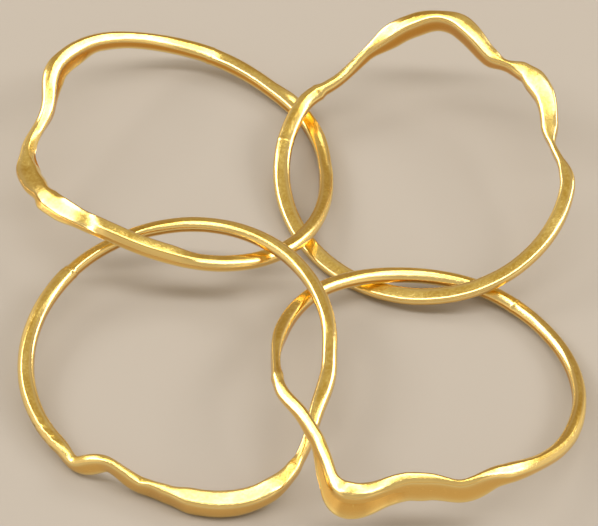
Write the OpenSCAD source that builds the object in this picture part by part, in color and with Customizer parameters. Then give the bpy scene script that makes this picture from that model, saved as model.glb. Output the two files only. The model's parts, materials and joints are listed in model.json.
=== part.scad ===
// Four-band puzzle ring, opened out: four closed, waved bands, each linked through its two neighbours.
// +X is to the right, +Y to the back, +Z up. The bands lie on the plane z = 0, centred on the origin.

/* [Bands] */
// Inside diameter of each band, a finger size
bore_d = 18.2; // [16:0.1:22]
// Thickness of the wire, from the inside of the band outwards
band_t = 0.95; // [0.8:0.05:1.2]
// Width of the wire, along the finger
band_w = 0.8; // [0.7:0.05:1.1]
// Rounding of the wire's long edges
edge_r = 0.26; // [0.1:0.02:0.34]

/* [Layout] */
// How far the bands reach into their neighbours to the left and right
link_side = 3.5; // [2.8:0.1:4.2]
// How far the bands reach into their neighbours in front and behind
link_front = 2.6; // [2.2:0.1:3.2]
// Clearance where one band crosses over another
link_gap = 0.2; // [0.1:0.05:0.5]

/* [Upper left band] */
// Off its square place: right, back
ul_place = [0.1, 0.45]; // [-1:0.05:1]
// Side that it dips towards, in degrees
ul_dip = 29; // [-180:1:180]
// Steepness, 1 being just enough to clear its neighbours
ul_steep = 1.3; // [1:0.02:1.4]
// Height of its low edge above the table
ul_low = 0.15; // [0:0.05:0.4]
// Out of round: amount, direction
ul_oval = [0.4, 115]; // [-180:0.05:180]
// Shoulder of the front: angle, spread, outwards, sideways
ul_shoulder = [139, 34, 0.9, 0.8]; // [-3:0.05:360]
// Corner of the front: angle, spread, outwards, sideways
ul_corner = [208, 39, 1.75, -0.8]; // [-3:0.05:360]
// Broad leaf at the corner: angle, spread, extra width, twist
ul_leaf = [212, 40, 0.8, 25]; // [-60:0.05:360]

/* [Upper right band] */
// Off its square place: right, back
ur_place = [0, 0.35]; // [-1:0.05:1]
// Side that it dips towards, in degrees
ur_dip = -135; // [-180:1:180]
// Steepness, 1 being just enough to clear its neighbours
ur_steep = 1.38; // [1:0.02:1.4]
// Height of its low edge above the table
ur_low = 0; // [0:0.05:0.4]
// Out of round: amount, direction
ur_oval = [0.28, 128]; // [-180:0.05:180]
// Crest of the front: angle, spread, outwards, sideways
ur_crest = [85, 28, 1.0, 1.3]; // [-3:0.05:360]
// Second, smaller crest: angle, spread, outwards, sideways
ur_ripple = [45, 22, 0.35, 0.3]; // [-3:0.05:360]
// Neck after the crests: angle, spread, outwards, sideways
ur_neck = [10, 24, -1.1, -0.2]; // [-3:0.05:360]
// Broad leaf over the crests: angle, spread, extra width, twist
ur_leaf = [70, 52, 0.9, -10]; // [-60:0.05:360]

/* [Lower left band] */
// Off its square place: right, back
ll_place = [0.45, 0.85]; // [-1:0.05:1]
// Side that it dips towards, in degrees
ll_dip = -123; // [-180:1:180]
// Steepness, 1 being just enough to clear its neighbours
ll_steep = 0.84; // [0.8:0.02:1.4]
// Height of its low edge above the table
ll_low = 0.46; // [0:0.02:0.6]
// Out of round: amount, direction
ll_oval = [0.25, 42]; // [-180:0.05:180]
// Kink at the start of the front: angle, spread, outwards, sideways
ll_kink = [246, 15, -0.4, 0.9]; // [-3:0.05:360]
// Sweep of the front: angle, spread, outwards, sideways
ll_sweep = [300, 42, 2.0, -0.4]; // [-3:0.05:360]
// Broad leaf along the sweep: angle, spread, extra width, twist
ll_leaf = [288, 42, 1.0, 10]; // [-60:0.05:360]

/* [Lower right band] */
// Off its square place: right, back
lr_place = [0.55, -0.15]; // [-1:0.05:1]
// Side that it dips towards, in degrees
lr_dip = 46; // [-180:1:180]
// Steepness, 1 being just enough to clear its neighbours
lr_steep = 1.0; // [0.9:0.02:1.4]
// Height of its low edge above the table
lr_low = 0.24; // [0:0.02:0.6]
// Out of round: amount, direction
lr_oval = [0.05, 159]; // [-180:0.05:180]
// Flat run towards the front's corner: angle, spread, outwards, sideways
lr_run = [300, 50, -0.5, 0.7]; // [-3:0.05:360]
// Dip in the flat run: angle, spread, outwards, sideways
lr_hollow = [289, 16, 0.2, -0.4]; // [-3:0.05:360]
// Corner of the front: angle, spread, outwards, sideways
lr_corner = [245, 18, 1.7, -1.0]; // [-3:0.05:360]
// Straight run after the corner: angle, spread, outwards, sideways
lr_straight = [212, 24, -0.6, 0.3]; // [-3:0.05:360]
// Broad leaf round the corner: angle, spread, extra width, twist
lr_leaf = [262, 48, 0.9, 10]; // [-60:0.05:360]

/* [Hidden] */
gold = [0.83, 0.66, 0.30];
// Sections round a band, and points on each rounded edge of a section
sections = 144;
edge_points = 3;
section_points = 4 * edge_points;
// Radius to the middle of the wire
ring_r = bore_d / 2 + band_t / 2;
// Half of the distance between the middles of neighbouring bands
half_x = ring_r - link_side / 2;
half_y = ring_r - link_front / 2;
// Half of the chord between the two crossings of neighbouring bands
half_chord = sqrt(pow(ring_r, 2) - pow((half_x + half_y) / 2, 2));
// Height from the middle of one band to the next where they cross: the wire, the gap and room for its tilt
tilt_room = 0.3;
lift = band_w + link_gap + tilt_room;
// Slope at which a band climbs one such height from the crossing below a neighbour to the one above it
slope = lift / (sqrt(2) * half_chord);

function unit(v) = v / norm(v);

// A smooth wave that is 1 at its own angle and 0 beyond its spread
function swell(a, wave) =
    let (off = abs((a - wave[0] + 540) % 360 - 180))
    off < wave[1] ? (1 + cos(180 * off / wave[1])) / 2 : 0;

// What a list of waves adds up to at an angle, for one of their two heights
function sum_of(a, waves, column) =
    [for (wave = waves) wave[column] * swell(a, wave)] * [for (wave = waves) 1];

// Middle of the wire at an angle round the band: an oval with waves outwards and sideways
function middle(a, oval, waves) =
    let (r = ring_r + oval[0] * cos(2 * (a - oval[1])) + sum_of(a, waves, 2))
    [r * cos(a), r * sin(a), sum_of(a, waves, 3)];

// Outline of the wire across its length, a rectangle with round corners
function outline(t, w) = [
    for (k = [0:3], j = [0:edge_points - 1])
    let (
        quarter = [k == 0 || k == 3 ? 1 : -1, k < 2 ? 1 : -1],
        turn = 90 * (k + j / (edge_points - 1))
    )
    [
        quarter[0] * (t / 2 - edge_r) + edge_r * cos(turn),
        quarter[1] * (w / 2 - edge_r) + edge_r * sin(turn)
    ]
];

// The outline set square to the wire at an angle round the band, and turned by the twist of its leaves
function section_at(a, oval, waves, leaves) =
    let (
        step = 0.5,
        along = unit(middle(a + step, oval, waves) - middle(a - step, oval, waves)),
        radial = [cos(a), sin(a), 0],
        outward = unit(radial - (radial * along) * along),
        upward = cross(outward, along),
        twist = sum_of(a, leaves, 3),
        across = outward * cos(twist) + upward * sin(twist),
        over = upward * cos(twist) - outward * sin(twist),
        w = band_w + sum_of(a, leaves, 2)
    )
    [for (p = outline(band_t, w)) middle(a, oval, waves) + p[0] * across + p[1] * over];

// One closed band, flat on its own plane and centred on its own axis
module band(oval, waves, leaves) {
    points = [
        for (i = [0:sections - 1])
        each section_at(360 * i / sections, oval, waves, leaves)
    ];
    faces = [
        for (i = [0:sections - 1], j = [0:section_points - 1])
        let (
            this = i * section_points,
            next = (i + 1) % sections * section_points,
            k = (j + 1) % section_points
        )
        each [[this + j, this + k, next + k], [this + j, next + k, next + j]]
    ];
    color(gold) polyhedron(points, faces);
}

// Lays a band at its corner of the square, dipping to one side, with its low edge near the table
module laid(corner, place, dip, steep, low) {
    tilt = atan(steep * slope);
    middle_z = low + ring_r * sin(tilt) + band_w / 2 * cos(tilt);
    translate([corner[0] * half_x + place[0], corner[1] * half_y + place[1], middle_z])
        rotate(a = tilt, v = [-sin(dip), cos(dip), 0])
            children();
}

module upper_left_band()
    laid([-1, 1], ul_place, ul_dip, ul_steep, ul_low)
        band(ul_oval, [ul_shoulder, ul_corner], [ul_leaf]);

module upper_right_band()
    laid([1, 1], ur_place, ur_dip, ur_steep, ur_low)
        band(ur_oval, [ur_crest, ur_ripple, ur_neck], [ur_leaf]);

module lower_left_band()
    laid([-1, -1], ll_place, ll_dip, ll_steep, ll_low)
        band(ll_oval, [ll_kink, ll_sweep], [ll_leaf]);

module lower_right_band()
    laid([1, -1], lr_place, lr_dip, lr_steep, lr_low)
        band(lr_oval, [lr_run, lr_hollow, lr_corner, lr_straight], [lr_leaf]);

upper_left_band();
upper_right_band();
lower_left_band();
lower_right_band();
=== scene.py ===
"""Four-band puzzle ring, opened out on a pale table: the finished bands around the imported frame.

Each band is one closed gold wire that follows a rule: an oval with waves in it, and leaves where the
wire is hammered broad. A Geometry Nodes tree grows the wire from those sizes, in millimetres, and lays
it on the axis that the frame gives for the band.
"""

from __future__ import annotations

import json
import logging
import math
from dataclasses import dataclass, field, replace
from enum import Enum
from typing import Any, Optional, Sequence, Union

import bpy
from mathutils import Matrix, Vector

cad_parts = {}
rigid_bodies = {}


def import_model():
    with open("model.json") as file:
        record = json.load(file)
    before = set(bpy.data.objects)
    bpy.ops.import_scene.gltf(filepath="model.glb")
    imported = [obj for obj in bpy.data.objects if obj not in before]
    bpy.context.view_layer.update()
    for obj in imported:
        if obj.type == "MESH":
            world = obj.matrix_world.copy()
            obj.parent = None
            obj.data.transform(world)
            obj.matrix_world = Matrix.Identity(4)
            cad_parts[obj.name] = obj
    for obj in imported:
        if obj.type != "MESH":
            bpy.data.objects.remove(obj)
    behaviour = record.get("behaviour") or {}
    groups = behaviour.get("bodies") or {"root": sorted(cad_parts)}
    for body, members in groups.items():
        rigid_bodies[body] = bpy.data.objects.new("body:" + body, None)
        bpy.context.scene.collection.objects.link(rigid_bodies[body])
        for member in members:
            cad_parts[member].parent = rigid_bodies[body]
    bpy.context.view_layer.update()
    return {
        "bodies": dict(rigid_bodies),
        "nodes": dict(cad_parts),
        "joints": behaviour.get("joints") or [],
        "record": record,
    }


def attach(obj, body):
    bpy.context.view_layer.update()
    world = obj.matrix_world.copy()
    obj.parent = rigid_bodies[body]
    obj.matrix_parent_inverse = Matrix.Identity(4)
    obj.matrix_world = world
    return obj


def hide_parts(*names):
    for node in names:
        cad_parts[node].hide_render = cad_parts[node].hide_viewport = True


log = logging.getLogger("puzzle_ring")

MM = 0.001
TURN = 360.0
HALF_TURN = 180.0
QUARTER_TURN = 90.0
PHOTO_WIDTH = 598

# What each band's mesh carries for its finish, painted highlight on the edges and painted shade on the
# walls too.
CHART = "UVMap"
EDGE = "polished_edge_and_painted_highlight"
WALL = "side_wall_painted_shade"

# The most waves, sections and seams that one band has. A band with fewer sections repeats its last one,
# a small step of degrees further on each time.
WAVE_PLACES = 9
SECTION_PLACES = 26
SEAM_PLACES = 2
SPARE_STEP = 0.01

Operand = Union["Field", float, int]
Triple = tuple[float, float, float]
Span = tuple[float, float]


class BandName(Enum):
    """The four bands, by the corner of the square that each lies at."""

    UPPER_LEFT = "upper_left_band"
    UPPER_RIGHT = "upper_right_band"
    LOWER_LEFT = "lower_left_band"
    LOWER_RIGHT = "lower_right_band"


class Uneven(Enum):
    """What a hand-made wire is uneven in. The number picks a slice of the noise of its own."""

    RADIUS = 0.0
    SIDE = 7.0
    TWIST = 13.0
    WIDTH = 19.0
    THICKNESS = 29.0


def opaque(colour: Triple) -> tuple[float, float, float, float]:
    """Gives a colour with full cover."""
    return (*colour, 1.0)


@dataclass(frozen=True)
class Field:
    """A value that flows out of a node, with arithmetic that adds Math nodes."""

    board: Board
    socket: bpy.types.NodeSocket

    def __add__(self, other: Operand) -> Field:
        """Adds a value."""
        return self.board.math("ADD", self, other)

    def __radd__(self, other: Operand) -> Field:
        """Adds a value on the left."""
        return self.board.math("ADD", other, self)

    def __sub__(self, other: Operand) -> Field:
        """Takes a value away."""
        return self.board.math("SUBTRACT", self, other)

    def __rsub__(self, other: Operand) -> Field:
        """Is taken away from a value."""
        return self.board.math("SUBTRACT", other, self)

    def __mul__(self, other: Operand) -> Field:
        """Multiplies by a value."""
        return self.board.math("MULTIPLY", self, other)

    def __truediv__(self, other: Operand) -> Field:
        """Divides by a value."""
        return self.board.math("DIVIDE", self, other)


class Board:
    """Lays nodes into one tree, column by column, and links them."""

    COLUMN_WIDTH = 220
    ROW_HEIGHT = 190
    COLUMN_NODES = 12
    MIX_PLACES = {"FLOAT": 0, "VECTOR": 1, "RGBA": 2}

    def __init__(self, tree: bpy.types.NodeTree) -> None:
        """Starts on a tree.

        Args:
            tree: The geometry or shader tree that takes the nodes.
        """
        self.tree = tree
        self.count = 0

    def node(self, kind: str, **settings: Any) -> bpy.types.Node:
        """Adds a node.

        Args:
            kind: Blender's name of the node type.
            settings: Properties to set on it.

        Returns:
            The new node.
        """
        node = self.tree.nodes.new(kind)
        column, row = divmod(self.count, self.COLUMN_NODES)
        node.location = (self.COLUMN_WIDTH * column, -self.ROW_HEIGHT * row)
        self.count += 1
        for name, value in settings.items():
            setattr(node, name, value)
        return node

    def feed(self, socket: bpy.types.NodeSocket, value: Any) -> None:
        """Links a field to a socket, or sets the socket's own value.

        Args:
            socket: The input to fill.
            value: A Field, or a plain value.
        """
        if isinstance(value, Field):
            self.tree.links.new(value.socket, socket)
        else:
            socket.default_value = value

    def out(self, node: bpy.types.Node, name: Union[str, int] = 0) -> Field:
        """Gives a node's output as a field."""
        return Field(self, node.outputs[name])

    def filled(self, kind: str, values: Sequence[Any], **settings: Any) -> bpy.types.Node:
        """Adds a node and fills its inputs in order.

        Args:
            kind: Blender's name of the node type.
            values: A Field or a plain value for each input.
            settings: Properties to set on the node.

        Returns:
            The new node.
        """
        node = self.node(kind, **settings)
        for socket, value in zip(node.inputs, values):
            self.feed(socket, value)
        return node

    def math(self, operation: str, *values: Operand) -> Field:
        """Adds a Math node for up to three operands."""
        return self.out(self.filled("ShaderNodeMath", values, operation=operation))

    def wave(self, operation: str, degrees: Operand) -> Field:
        """Gives the sine, cosine or tangent of an angle in degrees."""
        return self.math(operation, self.math("RADIANS", degrees))

    def vector(self, operation: str, *values: Any) -> Field:
        """Adds a Vector Math node.

        Args:
            operation: Blender's name of the operation.
            values: Its operands; for SCALE the second one is the factor.

        Returns:
            The resulting vector, or the number for a dot product.
        """
        scaled = operation == "SCALE"
        node = self.filled("ShaderNodeVectorMath", values[:1] if scaled else values, operation=operation)
        if scaled:
            self.feed(node.inputs["Scale"], values[1])
        return self.out(node, "Value" if operation == "DOT_PRODUCT" else "Vector")

    def combine(self, x: Operand, y: Operand, z: Operand) -> Field:
        """Puts three numbers together as a vector."""
        return self.out(self.filled("ShaderNodeCombineXYZ", (x, y, z)))

    def split(self, vector: Field) -> tuple[Field, Field, Field]:
        """Takes a vector apart."""
        node = self.filled("ShaderNodeSeparateXYZ", (vector,))
        return self.out(node, 0), self.out(node, 1), self.out(node, 2)

    def blend(self, share: Operand, first: Any, second: Any, kind: str = "FLOAT") -> Field:
        """Mixes two values by a share from 0 to 1.

        Args:
            share: 0 for the first value, 1 for the second.
            first: The first value.
            second: The second value.
            kind: FLOAT, VECTOR or RGBA.

        Returns:
            The mixture.
        """
        node = self.node("ShaderNodeMix", data_type=kind)
        place = self.MIX_PLACES[kind]
        self.feed(node.inputs[0], share)
        self.feed(node.inputs[2 + 2 * place], first)
        self.feed(node.inputs[3 + 2 * place], second)
        return self.out(node, place)

    def ease(self, value: Operand, low: Operand, high: Operand) -> Field:
        """Gives a soft step from 0 at the low value to 1 at the high one."""
        step = self.filled("ShaderNodeMapRange", (value, low, high), interpolation_type="SMOOTHSTEP")
        return self.out(step)

    def noise(self, place: Field, scale: float, detail: float, seed: Optional[Field] = None) -> Field:
        """Adds a noise.

        Args:
            place: The point that it is read at.
            scale: How fine it is.
            detail: How many finer layers lie on it.
            seed: What sets one noise apart from the next, if anything does.

        Returns:
            The noise, from 0 to 1.
        """
        node = self.node("ShaderNodeTexNoise", noise_dimensions="4D" if seed else "3D")
        self.feed(node.inputs["Vector"], place)
        if seed:
            self.feed(node.inputs["W"], seed)
        node.inputs["Scale"].default_value = scale
        node.inputs["Detail"].default_value = detail
        return self.out(node, "Fac")

    def about(self, noise: Field, level: float) -> Field:
        """Gives twice a noise's distance from a level, so that 0 to 1 about 0.5 is -1 to 1."""
        return (noise - level) * 2.0

    def total(self, values: Sequence[Field]) -> Field:
        """Adds up several values.

        Args:
            values: One value or more.

        Returns:
            Their sum.
        """
        result = values[0]
        for value in values[1:]:
            result = value + result
        return result


@dataclass(frozen=True)
class Wave:
    """A smooth bend of the wire: its middle and spread in degrees, its heights in millimetres."""

    angle: float = 0.0
    spread: float = 1.0
    outwards: float = 0.0
    sideways: float = 0.0

    def sizes(self) -> dict[str, float]:
        """Gives the tree's inputs for this bend."""
        return {"Angle": self.angle, "Spread": self.spread, "Out": self.outwards, "Side": self.sideways}


@dataclass(frozen=True)
class Section:
    """The wire's cross section at one angle: sizes in millimetres, angles in degrees.

    The top face falls away from a line, which stands between the inside (-1) and the outside (1), at one
    slope outwards and another inwards. Below zero a slope rises, and the line is a valley instead of a
    ridge. A twist turns the whole section and lifts its outer side. A flare spreads its foot outwards, or
    inwards where it is below zero.
    """

    angle: float = 0.0
    width: float = 0.8
    thickness: float = 0.95
    twist: float = 0.0
    edge: float = 0.2
    fall_out: float = 0.0
    fall_in: float = 0.0
    ridge: float = 0.0
    flare: float = 0.0

    def sizes(self) -> dict[str, Any]:
        """Gives the tree's inputs for this section.

        Returns:
            Each input's name and value.
        """
        size = (self.width, self.thickness, self.twist)
        top = (self.fall_out, self.fall_in, self.ridge)
        return {"Angle": self.angle, "Size": size, "Top": top, "Edge": (self.edge, self.flare, 0.0)}


@dataclass(frozen=True)
class Seam:
    """A swelling right round the wire, such as a solder joint: degrees, and height in millimetres."""

    angle: float = 0.0
    spread: float = 1.0
    height: float = 0.0

    def sizes(self) -> dict[str, float]:
        """Gives the tree's inputs for this seam."""
        return {"Angle": self.angle, "Spread": self.spread, "Height": self.height}


@dataclass(frozen=True)
class PittedPatch:
    """A stretch left rough by the torch: degrees, and depth in millimetres."""

    angle: float = 0.0
    spread: float = 1.0
    depth: float = 0.0

    def sizes(self) -> dict[str, float]:
        """Gives the tree's inputs for this patch."""
        return {"Pits Angle": self.angle, "Pits Spread": self.spread, "Pits Depth": self.depth}


@dataclass(frozen=True)
class Grain:
    """One layer of unevenness in the metal: how fine it is, and its share in gloss, relief and colour."""

    scale: float
    detail: float
    gloss: float = 0.0
    relief: float = 0.0
    tint: float = 0.0
    tint_span: Span = (0.0, 1.0)

    def at(self, board: Board, place: Field) -> Field:
        """Gives the layer's noise at a place, from 0 to 1."""
        return board.noise(place, self.scale, self.detail)

    def roughened(self, noise: Field) -> Field:
        """Gives what the layer adds to the roughness, more or less than nothing."""
        return (noise - 0.5) * self.gloss

    def tinted(self, board: Board, noise: Field) -> Field:
        """Gives what the layer adds to the mottling of the colour."""
        return board.ease(noise, *self.tint_span) * self.tint


@dataclass(frozen=True)
class SatinGold:
    """Gold-coloured metal: satin faces with fine file marks, and edges polished by handling.

    The edges are also painted a paler gold, a painted highlight, and the walls a darker, more orange
    gold, which is painted shade and reflection.
    """

    name: str = "satin_gold"
    face: Triple = (0.98, 0.76, 0.24)
    shade: Triple = (0.79, 0.53, 0.10)
    # Painted shade and reflection: the walls are darker and more orange than the top, as shade and
    # reflections make them look.
    outer_wall_painted_shade: Triple = (0.87, 0.56, 0.165)
    inner_wall_painted_shade: Triple = (0.70, 0.35, 0.06)
    # Painted highlight: a paler gold along the edges, so that their highlights come out whiter.
    edge: Triple = (0.96, 0.75, 0.31)
    face_roughness: float = 0.21
    edge_roughness: float = 0.13
    mark_repeats: Triple = (26.0, 30.0, 1.0)
    mark_depth: float = 0.012
    mark_strength: float = 0.35
    marks: Grain = Grain(3.0, 6.0, gloss=0.16, relief=0.8)
    patches: Grain = Grain(420.0, 3.0, gloss=0.12, tint=0.6, tint_span=(0.34, 0.66))
    specks: Grain = Grain(5200.0, 2.0, gloss=0.2, relief=0.8, tint=0.4, tint_span=(0.36, 0.64))

    def material(self) -> bpy.types.Material:
        """Builds the finish from nodes.

        Returns:
            The new material.
        """
        material = bpy.data.materials.new(self.name)
        material.use_nodes = True
        tree = material.node_tree
        tree.nodes.clear()
        board = Board(tree)
        output = board.node("ShaderNodeOutputMaterial")
        shader = board.node("ShaderNodeBsdfPrincipled")
        tree.links.new(shader.outputs["BSDF"], output.inputs["Surface"])
        shader.inputs["Metallic"].default_value = 1.0

        edge = self._attribute(board, EDGE)
        place = board.out(board.node("ShaderNodeTexCoord"), "Object")
        along = board.out(board.node("ShaderNodeUVMap", uv_map=CHART))
        drawn = board.vector("MULTIPLY", along, self.mark_repeats)
        patches = self.patches.at(board, place)
        marks = self.marks.at(board, drawn)
        specks = self.specks.at(board, place)

        mottle = self.patches.tinted(board, patches) + self.specks.tinted(board, specks)
        face = board.blend(mottle, opaque(self.shade), opaque(self.face), "RGBA")
        # Painted shade: the walls take their darker, more orange colours.
        sides = self._painted_wall_shade(board, face)
        # Painted highlight: the edges take the paler edge colour.
        board.feed(shader.inputs["Base Color"], board.blend(edge, sides, opaque(self.edge), "RGBA"))

        rough = self.face_roughness + self.marks.roughened(marks)
        rough = rough + self.patches.roughened(patches) + self.specks.roughened(specks)
        board.feed(shader.inputs["Roughness"], board.blend(edge, rough, self.edge_roughness))

        bump = board.node("ShaderNodeBump")
        bump.inputs["Strength"].default_value = self.mark_strength
        bump.inputs["Distance"].default_value = self.mark_depth * MM
        board.feed(bump.inputs["Height"], marks * self.marks.relief + specks * self.specks.relief)
        tree.links.new(bump.outputs["Normal"], shader.inputs["Normal"])
        return material

    def _painted_wall_shade(self, board: Board, face: Field) -> Field:
        """Paints shade and reflection on the wire's outer and inner walls: a darker, more orange gold
        than its top.

        Args:
            board: The tree's board.
            face: The colour of the top.

        Returns:
            The colour all round the wire.
        """
        wall = self._attribute(board, WALL)
        outside = board.math("MAXIMUM", wall, 0.0)
        inside = board.math("MAXIMUM", wall * -1.0, 0.0)
        colour = board.blend(outside, face, opaque(self.outer_wall_painted_shade), "RGBA")
        return board.blend(inside, colour, opaque(self.inner_wall_painted_shade), "RGBA")

    @staticmethod
    def _attribute(board: Board, name: str) -> Field:
        """Reads one of the band's own attributes."""
        return board.out(board.node("ShaderNodeAttribute", attribute_name=name), "Fac")


@dataclass(frozen=True)
class PaleTable:
    """Matt, pale table top."""

    name: str = "pale_table"
    colour: Triple = (0.45, 0.42, 0.385)
    roughness: float = 0.85
    shine: float = 0.2

    def material(self) -> bpy.types.Material:
        """Builds the finish.

        Returns:
            The new material.
        """
        material = bpy.data.materials.new(self.name)
        material.use_nodes = True
        shader = material.node_tree.nodes["Principled BSDF"]
        shader.inputs["Base Color"].default_value = opaque(self.colour)
        shader.inputs["Roughness"].default_value = self.roughness
        shader.inputs["Specular IOR Level"].default_value = self.shine
        return material


@dataclass(frozen=True)
class GridPlace:
    """Where a point of the flat grid ends up: its column round the band, its row round the wire."""

    column: Field
    row: Field
    rows: Field
    quarter: Field
    degrees: Field
    radial: Field


@dataclass(frozen=True)
class Rim:
    """Where a point is on the section's rim.

    It holds the last corner, the way that the point faces in degrees, and its share of the next flat.
    """

    corner: Field
    facing: Field
    flat: Field


@dataclass(frozen=True)
class Profile:
    """The wire's section at a point, eased from one given section to the next."""

    width: Field
    thickness: Field
    twist: Field
    edge: Field
    fall_out: Field
    fall_in: Field
    ridge: Field
    flare: Field


@dataclass
class WavedWire:
    """The Geometry Nodes tree that grows one closed, waved wire from its sizes."""

    name: str = "waved_wire"
    wobble_scale: float = 4.0
    wobble_detail: float = 1.0
    twist_per_wobble: float = 90.0
    pit_steps: Span = (0.167, 0.1)
    pit_scale: float = 2.6
    pit_detail: float = 2.0
    pit_level: float = 0.6
    # How fast the edges' polish and painted highlight fall off towards the middle of a flat.
    polish_and_highlight_falloff: float = 4.0
    row_slack: float = 0.0001
    weld: float = 0.0005
    sockets: dict[str, str] = field(init=False, default_factory=dict)
    tree: bpy.types.NodeTree = field(init=False)
    board: Board = field(init=False)
    size: dict[str, Field] = field(init=False)
    swell: bpy.types.NodeTree = field(init=False)
    place: GridPlace = field(init=False)
    rim: Rim = field(init=False)

    def __post_init__(self) -> None:
        """Builds the tree: a grid is bent to the wire's middle, then opened out to its section."""
        self.tree = bpy.data.node_groups.new(self.name, "GeometryNodeTree")
        self._inputs()
        self.board = Board(self.tree)
        given = self.board.node("NodeGroupInput")
        self.size = {name: self.board.out(given, name) for name in self.sockets}
        self.swell = self._swell()
        self.place = self._place()
        self.rim = self._rim()
        self._close(self._mark(self._open(self._bend(self._grid()))))

    def _inputs(self) -> None:
        face = self.tree.interface
        plain = ("Radius", "Crown", "Oval", "Oval Direction", "Hand Wobble", "Seed")
        wanted = [(name, "Int") for name in ("Sections", "Corner Points", "Flat Points")]
        wanted += [(name, "Float") for name in (*plain, *PittedPatch().sizes())]
        for title, places, sample in (
            ("Wave", WAVE_PLACES, Wave()),
            ("Section", SECTION_PLACES, Section()),
            ("Seam", SEAM_PLACES, Seam()),
        ):
            for n in range(1, places + 1):
                for part, value in sample.sizes().items():
                    kind = "Vector" if isinstance(value, tuple) else "Float"
                    wanted.append((f"{title} {n} {part}", kind))
        wanted += [("Middle", "Vector"), ("Turn", "Rotation"), ("Finish", "Material")]
        for name, kind in wanted:
            socket = face.new_socket(name, in_out="INPUT", socket_type=f"NodeSocket{kind}")
            self.sockets[name] = socket.identifier
        face.new_socket("Wire", in_out="OUTPUT", socket_type="NodeSocketGeometry")

    @staticmethod
    def _swell() -> bpy.types.NodeTree:
        """Builds the group for one smooth bend, which is 1 at its own angle and 0 beyond its spread.

        Returns:
            The new group.
        """
        tree = bpy.data.node_groups.new("swell", "GeometryNodeTree")
        for name in ("At", "Angle", "Spread"):
            tree.interface.new_socket(name, in_out="INPUT", socket_type="NodeSocketFloat")
        tree.interface.new_socket("Height", in_out="OUTPUT", socket_type="NodeSocketFloat")
        board = Board(tree)
        given = board.node("NodeGroupInput")
        at, angle, spread = (board.out(given, name) for name in ("At", "Angle", "Spread"))
        off = board.math("ABSOLUTE", board.math("WRAP", at - angle, HALF_TURN, -HALF_TURN))
        share = board.math("MINIMUM", off / spread, 1.0)
        height = (board.wave("COSINE", share * HALF_TURN) + 1.0) * 0.5
        board.feed(board.node("NodeGroupOutput").inputs["Height"], height)
        return tree

    def _height(self, name: str) -> Field:
        """Gives how far one bend, seam or patch is in force at a point, from 0 to 1."""
        inputs = (self.place.degrees, self.size[f"{name} Angle"], self.size[f"{name} Spread"])
        return self.board.out(self.board.filled("GeometryNodeGroup", inputs, node_tree=self.swell))

    def _wobble(self, kind: Uneven) -> Field:
        """Gives a slow hand-made unevenness round the band.

        Args:
            kind: What is uneven.

        Returns:
            A number from -1 to 1.
        """
        board, at = self.board, self.place.degrees
        ring = board.combine(board.wave("COSINE", at), board.wave("SINE", at), kind.value)
        noise = board.noise(ring, self.wobble_scale, self.wobble_detail, self.size["Seed"])
        return board.about(noise, 0.5)

    def _place(self) -> GridPlace:
        """Finds where a point of the grid ends up, from its number.

        Returns:
            The place, with its angle in degrees and the way out from the band's middle.
        """
        board, size = self.board, self.size
        quarter = size["Corner Points"] + size["Flat Points"]
        rows = quarter * 4.0 + 1.0
        index = board.out(board.node("GeometryNodeInputIndex"))
        column = board.math("FLOOR", (index + 0.5) / rows)
        row = index - column * rows
        at = column * TURN / size["Sections"]
        radial = board.combine(board.wave("COSINE", at), board.wave("SINE", at), 0.0)
        return GridPlace(column, row, rows, quarter, at, radial)

    def _rim(self) -> Rim:
        """Finds where a row is on the section's rim: each quarter is a rounded corner, then a flat.

        Returns:
            The point of the rim.
        """
        board, quarter = self.board, self.place.quarter
        part = self.place.row / quarter
        corner = board.math("FLOOR", part + self.row_slack)
        local = part - corner
        arc = self.size["Corner Points"] / quarter
        facing = (corner + board.math("MINIMUM", local / arc, 1.0)) * QUARTER_TURN
        flat = board.math("MAXIMUM", (local - arc) / (1.0 - arc), 0.0)
        return Rim(corner, facing, flat)

    def _grid(self) -> Field:
        """Makes the flat grid, a column for each section and a row for each point of its rim.

        Returns:
            The grid.
        """
        grid = self.board.node("GeometryNodeMeshGrid")
        self.board.feed(grid.inputs["Vertices X"], self.size["Sections"] + 1.0)
        self.board.feed(grid.inputs["Vertices Y"], self.place.rows)
        return self.board.out(grid, "Mesh")

    def _bend(self, mesh: Field) -> Field:
        """Bends the grid to the wire's middle line: an oval with waves in it.

        Args:
            mesh: The grid.

        Returns:
            The grid, with every row on the middle line.
        """
        board, size = self.board, self.size
        waves = [f"Wave {n}" for n in range(1, WAVE_PLACES + 1)]
        bends = {name: self._height(name) for name in waves}
        uneven = size["Hand Wobble"]
        oval = size["Oval"] * board.wave("COSINE", (self.place.degrees - size["Oval Direction"]) * 2.0)
        radius = size["Radius"] + oval + uneven * self._wobble(Uneven.RADIUS)
        radius = radius + board.total([bends[name] * size[f"{name} Out"] for name in waves])
        side = board.total([bends[name] * size[f"{name} Side"] for name in waves])
        side = side + uneven * self._wobble(Uneven.SIDE)
        flat = board.vector("SCALE", self.place.radial, radius)
        bent = board.node("GeometryNodeSetPosition")
        board.feed(bent.inputs["Geometry"], mesh)
        board.feed(bent.inputs["Position"], board.vector("ADD", flat, board.combine(0.0, 0.0, side)))
        return board.out(bent, "Geometry")

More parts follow.
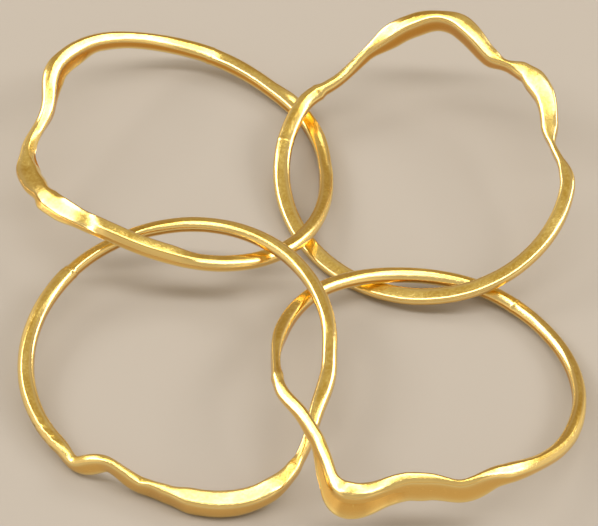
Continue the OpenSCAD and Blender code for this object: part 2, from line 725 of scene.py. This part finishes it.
    def _directions(self) -> tuple[Field, Field]:
        """Finds the wire's own directions, square to the way that it runs.

        Returns:
            The ways outwards and upwards.
        """
        board, place, sections = self.board, self.place, self.size["Sections"]
        here = board.out(board.node("GeometryNodeInputPosition"))
        after = board.math("FLOORED_MODULO", place.column, sections) + 1.0
        before = board.math("FLOORED_MODULO", place.column - 1.0, sections)
        ends = []
        for other in (after, before):
            node = board.node("GeometryNodeFieldAtIndex", data_type="FLOAT_VECTOR")
            board.feed(node.inputs["Value"], here)
            board.feed(node.inputs["Index"], other * place.rows + place.row)
            ends.append(board.out(node))
        forward = board.vector("NORMALIZE", board.vector("SUBTRACT", *ends))
        lean = board.vector("SCALE", forward, board.vector("DOT_PRODUCT", place.radial, forward))
        outward = board.vector("NORMALIZE", board.vector("SUBTRACT", place.radial, lean))
        return outward, board.vector("CROSS_PRODUCT", outward, forward)

    def _profile(self) -> Profile:
        """Eases from one given section to the next, and from the last on to the first.

        Returns:
            The section at a point's angle.
        """
        board, size = self.board, self.size
        parts = ("Size", "Top", "Edge")
        start = size["Section 1 Angle"]
        past = board.math("WRAP", self.place.degrees, start + TURN, start)
        now = {part: size[f"Section 1 {part}"] for part in parts}
        for n in range(1, SECTION_PLACES + 1):
            last = n == SECTION_PLACES
            following = "Section 1" if last else f"Section {n + 1}"
            close = size[f"{following} Angle"] + (TURN if last else 0.0)
            share = board.ease(past, size[f"Section {n} Angle"], close)
            for part in parts:
                now[part] = board.blend(share, now[part], size[f"{following} {part}"], "VECTOR")
        width, thickness, twist = board.split(now["Size"])
        fall_out, fall_in, ridge = board.split(now["Top"])
        edge, flare, _ = board.split(now["Edge"])
        uneven = size["Hand Wobble"]
        width = width + uneven * self._wobble(Uneven.WIDTH)
        thickness = thickness + uneven * self._wobble(Uneven.THICKNESS)
        twist = twist + uneven * self.twist_per_wobble * self._wobble(Uneven.TWIST)
        return Profile(width, thickness, twist, edge, fall_out, fall_in, ridge, flare)

    def _reach(self, whole: Field, edge: Field, operation: str) -> Field:
        """Gives how far the centre of a rounded edge is from the wire's middle, along the flats too.

        Args:
            whole: The wire's width or thickness.
            edge: The radius of the rounded edge.
            operation: COSINE for outwards, SINE for upwards.

        Returns:
            The distance in millimetres.
        """
        board, corner = self.board, self.rim.corner
        reach = (whole * 0.5 - edge) * math.sqrt(2.0)
        first = board.wave(operation, corner * QUARTER_TURN + QUARTER_TURN * 0.5)
        second = board.wave(operation, corner * QUARTER_TURN + QUARTER_TURN * 1.5)
        return reach * board.blend(self.rim.flat, first, second)

    def _swelling(self, edge: Field) -> Field:
        """Gives how far the wire stands out from the centres of its rounded edges.

        Args:
            edge: The radius of the rounded edges.

        Returns:
            That radius with seams, pits and the crown of the flats, in millimetres.
        """
        board, size, place, flat = self.board, self.size, self.place, self.rim.flat
        seams = [f"Seam {n}" for n in range(1, SEAM_PLACES + 1)]
        raised = board.total([self._height(name) * size[f"{name} Height"] for name in seams])
        along, across = self.pit_steps
        spot = board.combine(place.degrees * along, place.row * across, size["Seed"])
        pits = board.about(board.noise(spot, self.pit_scale, self.pit_detail), self.pit_level)
        pitted = self._height("Pits") * size["Pits Depth"] * pits
        # Four times a share and its rest is 1 in the middle of a flat.
        crown = size["Crown"] * flat * (1.0 - flat) * 4.0
        return edge + raised + pitted + crown

    def _open(self, mesh: Field) -> Field:
        """Opens the grid out from the middle line to the wire's section.

        Args:
            mesh: The bent grid.

        Returns:
            The wire, still with an open joint along it.
        """
        board, profile, facing = self.board, self._profile(), self.rim.facing
        outward, upward = self._directions()
        cosine, sine = board.wave("COSINE", profile.twist), board.wave("SINE", profile.twist)
        across = board.vector(
            "ADD", board.vector("SCALE", outward, cosine), board.vector("SCALE", upward, sine)
        )
        over = board.vector(
            "SUBTRACT", board.vector("SCALE", upward, cosine), board.vector("SCALE", outward, sine)
        )
        swelling = self._swelling(profile.edge)
        out_by = self._reach(profile.thickness, profile.edge, "COSINE")
        out_by = out_by + swelling * board.wave("COSINE", facing)
        up_by = self._reach(profile.width, profile.edge, "SINE") + swelling * board.wave("SINE", facing)

        above = board.math("MAXIMUM", up_by / (profile.width * 0.5), 0.0)
        below = board.math("MAXIMUM", up_by / (profile.width * -0.5), 0.0)
        past = out_by - profile.ridge * profile.thickness * 0.5
        fall = board.wave("TANGENT", profile.fall_out) * board.math("MAXIMUM", past, 0.0)
        fall = fall - board.wave("TANGENT", profile.fall_in) * board.math("MINIMUM", past, 0.0)
        out_step = board.vector("SCALE", across, out_by + profile.flare * below)
        up_step = board.vector("SCALE", over, up_by - fall * above)

        opened = board.node("GeometryNodeSetPosition")
        board.feed(opened.inputs["Geometry"], mesh)
        board.feed(opened.inputs["Offset"], board.vector("ADD", out_step, up_step))
        return board.out(opened, "Geometry")

    def _mark(self, mesh: Field) -> Field:
        """Stores what the finish reads: the chart, the polished edges with their painted highlight,
        and the walls with their painted shade.

        Args:
            mesh: The wire.

        Returns:
            The wire with its attributes.
        """
        board, place, rim = self.board, self.place, self.rim
        from_middle = board.math("ABSOLUTE", rim.flat * 2.0 - 1.0)
        # Where the edges' polish and painted highlight lie.
        near_edge = board.math("POWER", from_middle, self.polish_and_highlight_falloff)
        chart = board.combine(place.column / self.size["Sections"], place.row / (place.rows - 1.0), 0.0)
        for name, kind, domain, value in (
            (CHART, "FLOAT2", "CORNER", chart),
            (EDGE, "FLOAT", "POINT", near_edge),
            (WALL, "FLOAT", "POINT", board.wave("COSINE", rim.facing)),
        ):
            store = board.node("GeometryNodeStoreNamedAttribute", data_type=kind, domain=domain)
            board.feed(store.inputs["Geometry"], mesh)
            store.inputs["Name"].default_value = name
            board.feed(store.inputs["Value"], value)
            mesh = board.out(store, "Geometry")
        return mesh

    def _close(self, mesh: Field) -> None:
        """Welds the wire's open joints, lays it on its axis in metres and gives it its finish.

        Args:
            mesh: The wire.
        """
        board, size = self.board, self.size
        closed = board.node("GeometryNodeMergeByDistance")
        closed.inputs["Distance"].default_value = self.weld
        laid = board.node("GeometryNodeTransform")
        board.feed(laid.inputs["Translation"], size["Middle"])
        board.feed(laid.inputs["Rotation"], size["Turn"])
        laid.inputs["Scale"].default_value = (MM, MM, MM)
        smooth = board.node("GeometryNodeSetShadeSmooth")
        plain = board.node("GeometryNodeRealizeInstances")
        dressed = board.node("GeometryNodeSetMaterial")
        board.feed(dressed.inputs["Material"], size["Finish"])
        for step in (closed, laid, smooth, plain, dressed):
            board.feed(step.inputs[0], mesh)
            mesh = board.out(step)
        board.feed(board.node("NodeGroupOutput").inputs["Wire"], mesh)


@dataclass
class Band:
    """One closed band of the puzzle ring, waved at its front. Sizes in millimetres and degrees."""

    name: BandName
    oval: float
    oval_direction: float
    waves: tuple[Wave, ...]
    shape: tuple[Section, ...]
    seams: tuple[Seam, ...]
    seed: float
    pits: PittedPatch = PittedPatch()
    bore: float = 18.2
    wire: float = 0.95
    crown: float = 0.012
    wobble: float = 0.02
    sections: int = 720
    corner_points: int = 4
    flat_points: int = 8

    def sizes(self) -> dict[str, Any]:
        """Gives the tree's inputs for this band.

        Returns:
            Each input's name and value.
        """
        wanted: dict[str, Any] = {
            "Sections": self.sections,
            "Corner Points": self.corner_points,
            "Flat Points": self.flat_points,
            "Radius": (self.bore + self.wire) / 2,
            "Crown": self.crown,
            "Oval": self.oval,
            "Oval Direction": self.oval_direction,
            "Hand Wobble": self.wobble,
            "Seed": self.seed,
        }
        wanted.update(self.pits.sizes())
        last = self.shape[-1]
        spare = [replace(last, angle=last.angle + SPARE_STEP * n) for n in range(1, SECTION_PLACES + 1)]
        for title, places, given in (
            ("Wave", WAVE_PLACES, [*self.waves, *[Wave()] * WAVE_PLACES]),
            ("Section", SECTION_PLACES, [*self.shape, *spare]),
            ("Seam", SEAM_PLACES, [*self.seams, *[Seam()] * SEAM_PLACES]),
        ):
            for n in range(places):
                wanted.update({f"{title} {n + 1} {part}": v for part, v in given[n].sizes().items()})
        return wanted

    def seat(self, frame: dict[str, Any]) -> tuple[Vector, Vector]:
        """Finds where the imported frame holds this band.


        Returns:
            The band's middle in metres, and its axis.
        """
        for joint in frame["joints"]:
            if joint["child"] == self.name.value:
                return Vector(joint["pos_m"]), Vector(joint["axis"])
        held = next(m for m in frame["record"]["mounts"] if m["name"] == "finger_loop")
        return Vector(held["pos_m"]), Vector(held["axis"])

    def build(
        self, wire: WavedWire, finish: bpy.types.Material, frame: dict[str, Any]
    ) -> bpy.types.Object:
        """Grows the band, makes it a plain mesh and puts it on its body.

        Args:
            wire: The tree that grows it.
            finish: Its material.

        Returns:
            The finished piece.
        """
        name = self.name.value
        piece = bpy.data.objects.new(f"waved_{name}", bpy.data.meshes.new(name))
        bpy.context.scene.collection.objects.link(piece)
        middle, axis = self.seat(frame)
        turn = Vector((0.0, 0.0, 1.0)).rotation_difference(axis).to_euler()
        modifier = piece.modifiers.new(wire.name, "NODES")
        modifier.node_group = wire.tree
        for title, value in self.sizes().items():
            modifier[wire.sockets[title]] = value
        modifier[wire.sockets["Middle"]] = tuple(middle)
        modifier[wire.sockets["Turn"]] = tuple(turn)
        modifier[wire.sockets["Finish"]] = finish
        graph = bpy.context.evaluated_depsgraph_get()
        grown = bpy.data.meshes.new_from_object(
            piece.evaluated_get(graph), preserve_all_data_layers=True, depsgraph=graph
        )
        piece.modifiers.clear()
        piece.data = grown
        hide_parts(name)
        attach(piece, name)
        return piece


@dataclass
class PuzzleRing:
    """The four bands, each linked through its two neighbours.

    A Wave reads angle, spread, outwards, sideways. A Section reads angle, width, thickness, twist, edge,
    fall_out, fall_in, ridge, flare. A Seam reads angle, spread, height, and a PittedPatch angle, spread,
    depth. Angles run round each band's own axis, and start at its right.
    """

    bands: tuple[Band, ...] = (
        Band(
            BandName.UPPER_LEFT, 0.4, 115,
            waves=(
                Wave(136.2, 72.9, 0.8, 0.0),
                Wave(204.5, 65.9, 1.22, 0.0),
                Wave(170.3, 18.2, -0.74, 0.0),
                Wave(141, 52, 0.0, 1.2),
                Wave(195, 52, 0.0, -1.6),
                Wave(121, 36.1, -0.49, 0.0),
                Wave(28, 32, 0.26, 0.0),
                Wave(157, 16, 0.12, 0.0),
                Wave(197, 13, 0.15, 0.0),
            ),
            shape=(
                Section(0.0, 0.8, 0.92, 4, 0.2, 0.0, 0.0, 0.1),
                Section(8, 0.8, 0.9, 20, 0.2, -24, -14, 0.1),
                Section(24, 0.9, 1.0, 20, 0.22, -20, 6),
                Section(45, 0.85, 0.95, 6, 0.24, -34, 12, -0.1),
                Section(58, 0.88, 0.96, 0.0, 0.24, 0.0, 16, 0.2),
                Section(76, 0.92, 0.98, 0.0, 0.22, 0.0, 18, 0.2),
                Section(85, 0.94, 0.99, 0.0, 0.22, 0.0, 30, 0.2),
                Section(115, 1.05, 0.78, 0.0, 0.2, 0.0, 28, 0.15),
                Section(130, 1.12, 0.82, 0.0, 0.2, 4, 27, 0.27, -0.05),
                Section(146, 1.2, 0.9, 0.0, 0.2, 12, 26, 0.35, -0.46),
                Section(157, 1.15, 1.06, 0.0, 0.2, 17, 27, 0.1, -0.46),
                Section(168, 1.1, 0.88, 0.0, 0.2, 20, 12, 0.4, -0.15),
                Section(178, 0.95, 0.8, 0.0, 0.2, 18, 8, 0.35),
                Section(187, 0.85, 1.0, 0.0, 0.18, 22, 42, 0.1),
                Section(196, 0.85, 1.58, 0.0, 0.16, 22, 42, -0.42),
                Section(203, 0.85, 1.52, 0.0, 0.16, 26, 26, -0.48),
                Section(208, 0.84, 1.04, 0.0, 0.16, 33, 10, -0.4, 0.1),
                Section(213, 0.84, 1.18, 0.0, 0.14, 37, -20, -0.45, 0.33),
                Section(220, 0.82, 1.1, 0.0, 0.14, 36, -46, -0.5, 0.3),
                Section(231, 0.78, 0.97, 0.0, 0.14, 30, -41, -0.4, 0.05),
                Section(241, 0.76, 0.92, 0.0, 0.14, 56, -22, 0.55),
                Section(252, 0.78, 0.92, 0.0, 0.14, 58, -20, 0.6),
                Section(265, 0.8, 0.95, 0.0, 0.16, 50, -20, 0.5),
                Section(278, 0.8, 0.95, 0.0, 0.22, 26, 0.0, 0.1),
                Section(305, 0.8, 0.95, 0.0, 0.24, 22, 0.0, 0.2),
                Section(340, 0.8, 0.95, 0.0, 0.24, 16, 0.0, 0.3),
            ),
            seams=(Seam(84, 1.0, 0.03),),
            seed=1.0,
        ),
        Band(
            BandName.UPPER_RIGHT, 0.28, 128,
            waves=(
                Wave(84.2, 36, 1.03, 1.38),
                Wave(45, 22.5, 0.27, 0.1),
                Wave(11.1, 23.6, -0.89, -0.2),
                Wave(129.5, 18.9, -0.54, -0.15),
                Wave(62.7, 18, -0.65, 0.1),
            ),
            shape=(
                Section(3, 0.78, 0.49, 0.0, 0.18),
                Section(9, 0.8, 0.45, 0.0, 0.18),
                Section(20, 0.83, 1.16, 0.0, 0.2, -4, 18, -0.45),
                Section(40, 0.88, 1.48, 0.0, 0.22, -18, 18, -0.5),
                Section(47, 1.0, 1.05, 0.0, 0.21, -13, 14, -0.3),
                Section(55, 1.15, 0.5, 0.0, 0.2, 0.0, 6),
                Section(62, 1.35, 0.95, 0.0, 0.18, 0.0, 4),
                Section(75, 1.61, 1.18, 0.0, 0.18, 2, 8, 0.1),
                Section(85, 1.67, 0.84, 0.0, 0.2, 16, 8),
                Section(94, 1.59, 1.16, 0.0, 0.2, 18, 9),
                Section(102, 1.44, 1.11, 0.0, 0.18, -8, 9),
                Section(115, 0.96, 0.57, 0.0, 0.18, -10, 11),
                Section(126, 0.77, 0.65, 0.0, 0.18, -12, 14),
                Section(136, 0.8, 0.72, 0.0, 0.2, 0.0, 20),
                Section(140, 0.8, 1.02, 0.0, 0.2, 4, 24, 0.1),
                Section(160, 0.8, 1.08, 0.0, 0.22, 4, 22, -0.1),
                Section(190, 0.76, 1.1, 0.0, 0.22, 18, 8, 0.5),
                Section(235, 0.62, 1.12, 0.0, 0.2, 12, 0.0, 0.75),
                Section(318, 0.64, 1.03, 0.0, 0.2, 16, 0.0, 0.65),
                Section(352, 0.77, 0.97, 0.0, 0.2, 4, 0.0, 0.3),
            ),
            seams=(Seam(139, 1.2, 0.02), Seam(165, 0.8, 0.02)),
            seed=2.0,
        ),
        Band(
            BandName.LOWER_LEFT, 0.25, 42,
            waves=(
                Wave(245.2, 15.3, -0.39, 0.71),
                Wave(235.8, 11.6, 0.31, -0.26),
                Wave(315.3, 13.8, -0.07, -0.2),
                Wave(300.8, 48.6, 2.22, -0.34),
                Wave(347, 16, 0.22, 0.0),
            ),
            shape=(
                Section(0.0, 0.8, 0.95, 0.0, 0.22, 22, 6, 0.4),
                Section(22, 0.8, 0.93, 0.0, 0.22, 8, 18, -0.45),
                Section(45, 0.8, 0.92, 0.0, 0.22, 0.0, 20, -0.3),
                Section(85, 0.8, 0.88, 0.0, 0.22, 10, 12),
                Section(125, 0.8, 0.85, 0.0, 0.22, 22, 18, -0.45),
                Section(139, 0.8, 0.9, 0.0, 0.22, 24, 18, -0.45),
                Section(144, 0.8, 1.0, 0.0, 0.22, 4, 18, -0.4),
                Section(190, 0.8, 1.05, 0.0, 0.24, 30, 4, 0.45),
                Section(222, 0.8, 0.98, 0.0, 0.24, 24, 0.0, 0.35),
                Section(232, 0.98, 0.72, 0.0, 0.2, 12, -8),
                Section(240, 1.42, 0.63, 0.0, 0.2, 12, -12),
                Section(250, 1.2, 0.53, 0.0, 0.14, 2, -2),
                Section(258, 1.28, 0.62, 0.0, 0.14, 5, -5),
                Section(264, 1.58, 0.47, 0.0, 0.12, 8, -8),
                Section(270, 1.51, 0.65, 0.0, 0.14, 10, -10),
                Section(278, 1.57, 1.1, 0.0, 0.16, 10.5, -10.5),
                Section(288, 1.53, 1.15, 0.0, 0.16, 11, -11),
                Section(302, 1.2, 1.11, 0.0, 0.16, 16, -16),
                Section(313, 0.91, 0.8, 0.0, 0.16, 26, -26),
                Section(318, 0.84, 0.59, 0.0, 0.18, 18, -10),
                Section(346, 0.8, 1.05, 0.0, 0.22, 22, 2, 0.4),
            ),
            seams=(Seam(141, 0.9, 0.04),),
            seed=3.0,
            pits=PittedPatch(217, 14, 0.05),
        ),
        Band(
            BandName.LOWER_RIGHT, 0.05, 159,
            waves=(
                Wave(296.5, 45.5, -0.13, 0.89),
                Wave(284.7, 14.2, 0.21, -0.45),
                Wave(244.2, 21.4, 1.41, -0.6),
                Wave(212.3, 18.2, -0.32, 0.31),
                Wave(245.3, 14, 0.5, 0.0),
                Wave(4.8, 50, 0.27, 0.0),
                Wave(101, 44, -0.36, 0.0),
            ),
            shape=(
                Section(0.0, 0.8, 0.87, 0.0, 0.26, 4, 10, -0.5),
                Section(30, 0.8, 0.84, 0.0, 0.24, 0.0, 38, -0.35),
                Section(60, 0.8, 0.9, 0.0, 0.24, 0.0, 32, -0.15),
                Section(95, 0.8, 0.9, 0.0, 0.24, 0.0, 28, 0.1),
                Section(130, 0.8, 0.9, 0.0, 0.24, 0.0, 26, -0.2),
                Section(165, 0.9, 0.9, -10, 0.2, 0.0, 26, -0.5),
                Section(183, 0.8, 0.55, 0.0, 0.18),
                Section(200, 0.79, 0.71, 0.0, 0.2, 34, 0.0, -0.3),
                Section(225, 0.99, 0.66, 0.0, 0.2, 39, 4, -0.2, 0.1),
                Section(237, 1.34, 0.58, 0.0, 0.2, 42, 4, -0.4, 0.35),
                Section(246, 1.94, 1.01, 0.0, 0.2, 31, 4, -0.6, 0.6),
                Section(256, 1.59, 0.79, 0.0, 0.2, 31, 4, -0.6, 0.35),
                Section(268, 1.9, 0.67, 0.0, 0.18, 29, 4, -0.6, 0.2),
                Section(280, 1.66, 0.44, 0.0, 0.18, 28, 4, -0.5, 0.2),
                Section(289, 1.78, 0.53, 0.0, 0.18, 20, 0.0, -0.2, 0.15),
                Section(303, 1.12, 0.96, 0.0, 0.2, 30, 5, -0.25),
                Section(320, 0.89, 0.84, 0.0, 0.24, 28, 5, -0.15),
                Section(342, 0.8, 0.99, 0.0, 0.24, 24, 4, 0.1),
            ),
            seams=(Seam(53, 1.0, 0.03), Seam(190, 3.5, 0.06)),
            seed=4.0,
        ),
    )

    def build(self, frame: dict[str, Any]) -> None:
        """Builds and dresses every band, and logs each.
        """
        wire = WavedWire()
        finish = SatinGold().material()
        for band in self.bands:
            piece = band.build(wire, finish, frame)
            log.info("%s: %d faces", piece.name, len(piece.data.polygons))


@dataclass
class Table:
    """The pale floor that the bands lie on, a hair below them. Sizes in metres."""

    half_side: float = 3.0
    height: float = -0.00002

    def build(self) -> None:
        """Makes the floor and puts it in the scene."""
        half = self.half_side
        mesh = bpy.data.meshes.new("table")
        mesh.from_pydata(
            [(-half, -half, 0), (half, -half, 0), (half, half, 0), (-half, half, 0)], [], [(0, 1, 2, 3)]
        )
        mesh.transform(Matrix.Translation((0.0, 0.0, self.height)))
        mesh.materials.append(PaleTable().material())
        floor = bpy.data.objects.new("table", mesh)
        bpy.context.scene.collection.objects.link(floor)
        log.info("table: %.1f m square", 2 * half)


@dataclass(frozen=True)
class Lamp:
    """One soft lamp: place, aim and sides in metres, power in watts."""

    name: str
    place: Triple
    sides: Span
    power: float
    colour: Triple = (1.0, 0.97, 0.92)
    aim: Triple = (0.0, 0.0, 0.003)

    def build(self) -> None:
        """Hangs the lamp."""
        light = bpy.data.lights.new(self.name, "AREA")
        light.shape = "RECTANGLE"
        light.size, light.size_y = self.sides
        light.energy = self.power
        light.color = self.colour
        lamp = bpy.data.objects.new(self.name, light)
        lamp.location = self.place
        away = Vector(self.place) - Vector(self.aim)
        lamp.rotation_euler = away.to_track_quat("Z", "Y").to_euler()
        bpy.context.scene.collection.objects.link(lamp)
        log.info("%s: %.2f W", self.name, self.power)


@dataclass
class Studio:
    """Plain soft light: a long lamp overhead and a small one at each side, in a pale room.

    The room is paler above, at both sides and in front.
    """

    low: Triple = (0.36, 0.25, 0.14)
    high: Triple = (0.57, 0.50, 0.40)
    side: Triple = (0.44, 0.42, 0.37)
    side_span: Span = (0.45, 0.8)
    front_span: Span = (-0.3, -0.9)
    front_share: float = 0.5
    lamps: tuple[Lamp, ...] = (
        Lamp("overhead_lamp", (0.0, -0.02, 0.48), (1.30, 0.09), 2.1),
        Lamp("right_lamp", (0.46, 0.16, 0.35), (0.26, 0.20), 0.9),
        Lamp("left_lamp", (-0.46, 0.16, 0.35), (0.26, 0.20), 0.9),
    )

    def build(self) -> None:
        """Lights the scene."""
        world = bpy.data.worlds.new("room")
        world.use_nodes = True
        board = Board(world.node_tree)
        across, along, height = board.split(board.out(board.node("ShaderNodeTexCoord"), "Generated"))
        above = board.math("MAXIMUM", height, 0.0)
        aside = board.ease(board.math("ABSOLUTE", across), *self.side_span)
        ahead = board.ease(along, *self.front_span) * self.front_share
        shade = board.blend(above * above, opaque(self.low), opaque(self.high), "RGBA")
        shade = board.vector("ADD", shade, board.vector("SCALE", self.side, aside + ahead))
        board.feed(world.node_tree.nodes["Background"].inputs["Color"], shade)
        scene = bpy.context.scene
        scene.world = world
        scene.view_settings.view_transform = "Standard"
        for lamp in self.lamps:
            lamp.build()


@dataclass
class PhotoCamera:
    """The camera, at the photograph's viewing angle. Angles in degrees, lengths in metres."""

    name: str = "photo_camera"
    elevation: float = 51.28
    roll: float = 3.32
    distance: float = 0.254
    nearest: float = 0.01
    aim: Triple = (-0.000045, 0.00215, 0.0)
    focal_pixels: float = 3891.5
    sensor_mm: float = 36.0

    def build(self) -> None:
        """Makes the camera and sets it as the scene's own."""
        tilt, roll = math.radians(self.elevation), math.radians(self.roll)
        back = Vector((0.0, -math.cos(tilt), math.sin(tilt)))
        above = Vector((0.0, math.sin(tilt), math.cos(tilt)))
        side = Vector((1.0, 0.0, 0.0))
        right = side * math.cos(roll) + above * math.sin(roll)
        up = above * math.cos(roll) - side * math.sin(roll)
        place = Matrix((right, up, back)).transposed().to_4x4()
        place.translation = Vector(self.aim) + back * self.distance
        lens = bpy.data.cameras.new(self.name)
        lens.sensor_fit = "HORIZONTAL"
        lens.sensor_width = self.sensor_mm
        lens.lens = self.focal_pixels * self.sensor_mm / PHOTO_WIDTH
        lens.clip_start = self.nearest
        camera = bpy.data.objects.new(self.name, lens)
        camera.matrix_world = place
        scene = bpy.context.scene
        scene.collection.objects.link(camera)
        scene.camera = camera
        log.info("camera: %.1f mm lens", lens.lens)


def main() -> None:
    """Builds the camera, the light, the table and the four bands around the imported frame."""
    logging.basicConfig(level=logging.INFO, format="%(name)s: %(message)s")
    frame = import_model()
    PhotoCamera().build()
    Studio().build()
    Table().build()
    PuzzleRing().build(frame)


if __name__ == "__main__":
    main()
